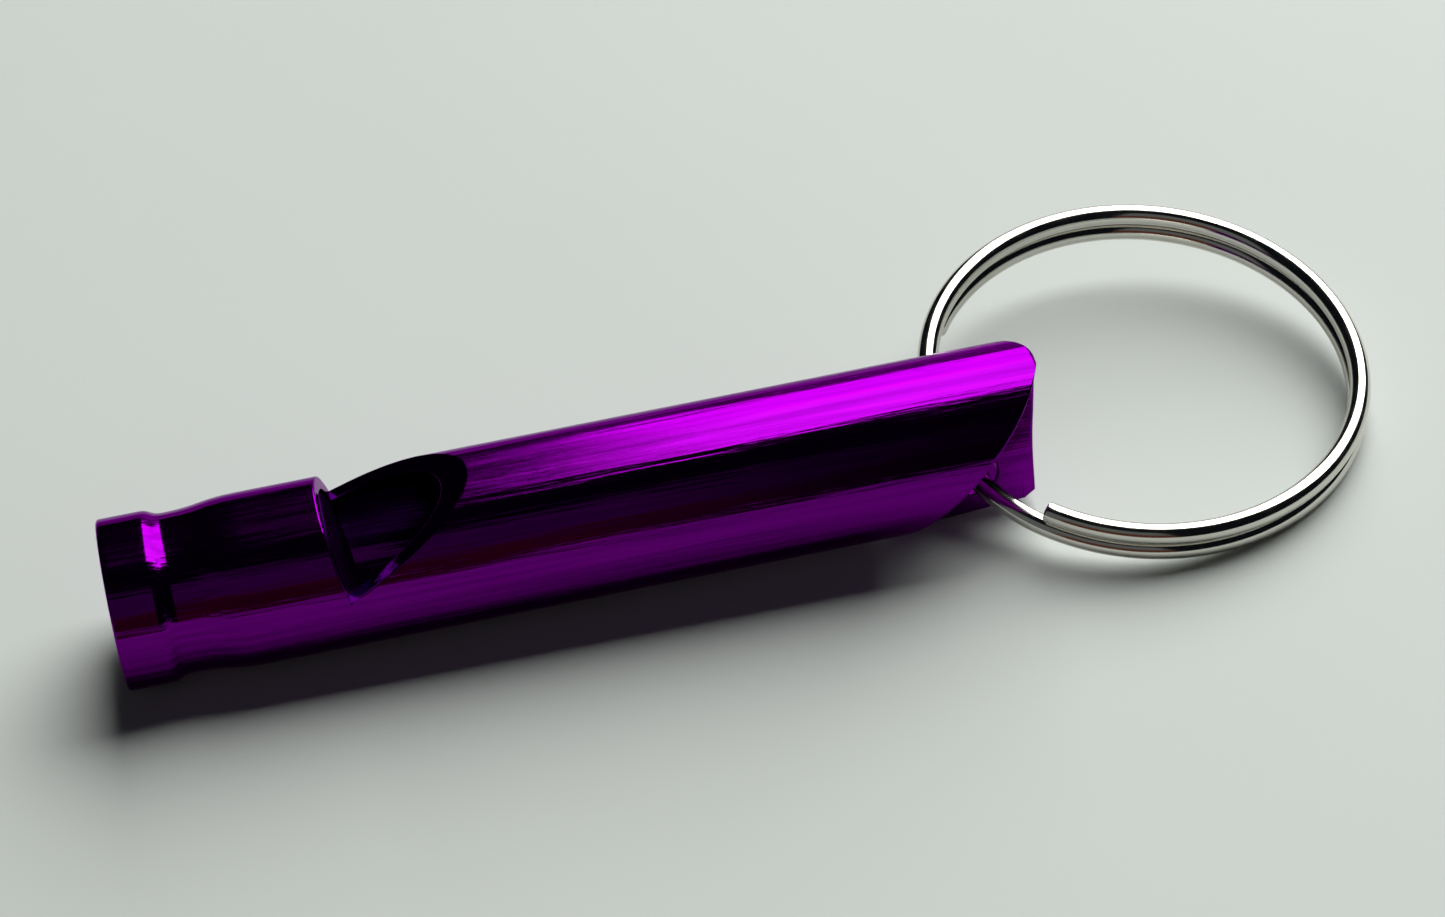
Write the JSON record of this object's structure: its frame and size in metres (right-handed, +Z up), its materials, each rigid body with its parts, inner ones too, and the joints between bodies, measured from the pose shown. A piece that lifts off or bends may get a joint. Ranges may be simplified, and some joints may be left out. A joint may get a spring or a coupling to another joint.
{
  "type": "key-ring tin whistle",
  "caption": "Small anodised aluminium tube whistle with a rolled groove, a notched sound window, a folded tail tab and a steel split ring.",
  "frame": {"origin": "centre of the footprint of the whistle and its ring, on the surface they lie on", "axes": "+X along the tube from its mouth to the ring, +Z up, out of the sound window"},
  "size_m": [0.0604, 0.0214, 0.0086],
  "materials": {
    "anodised_tube": "bright anodised purple, drawn lengthwise and polished",
    "anodised_plug": "bright anodised purple, turned",
    "nickel_wire": "nickel-plated spring steel, polished"
  },
  "bodies": {
    "whistle": {"body_tube": "anodised_tube", "fipple_plug": "anodised_plug"},
    "ring": {"split_ring": "nickel_wire"}
  },
  "joints": [
    {"name": "ring_swing", "type": "hinge", "parent": "whistle", "child": "ring", "pos_m": [0.00995, -0.00394, 0.00248], "axis": [0, 1, 0], "range_deg": [-70, 140]}
  ]
}
